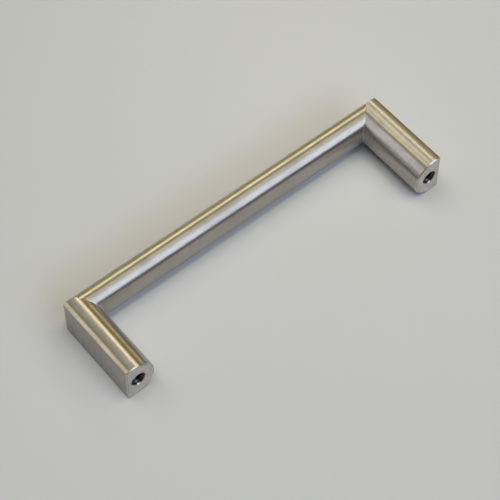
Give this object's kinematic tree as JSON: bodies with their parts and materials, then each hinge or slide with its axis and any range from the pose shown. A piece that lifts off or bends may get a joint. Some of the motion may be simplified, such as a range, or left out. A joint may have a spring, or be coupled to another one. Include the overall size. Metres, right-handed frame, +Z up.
{
  "type": "bridge pull handle",
  "caption": "Mitred bridge pull handle in brushed metal, flat outside and round inside, with tapped fixing holes in its post ends.",
  "frame": {"origin": "midway between the two fixing holes, in the plane of the post ends that meets the drawer or door", "axes": "+X along the grip; +Y from the grip towards the drawer or door, out of the fixing holes; +Z up, square to the plane of grip and posts"},
  "size_m": [0.1028, 0.026, 0.0124],
  "materials": {
    "brushed_metal": "satin brushed metal of a warm nickel tone, its brush lines running round the bar"
  },
  "bodies": {
    "root": {"pull_handle": "brushed_metal"}
  },
  "joints": []
}
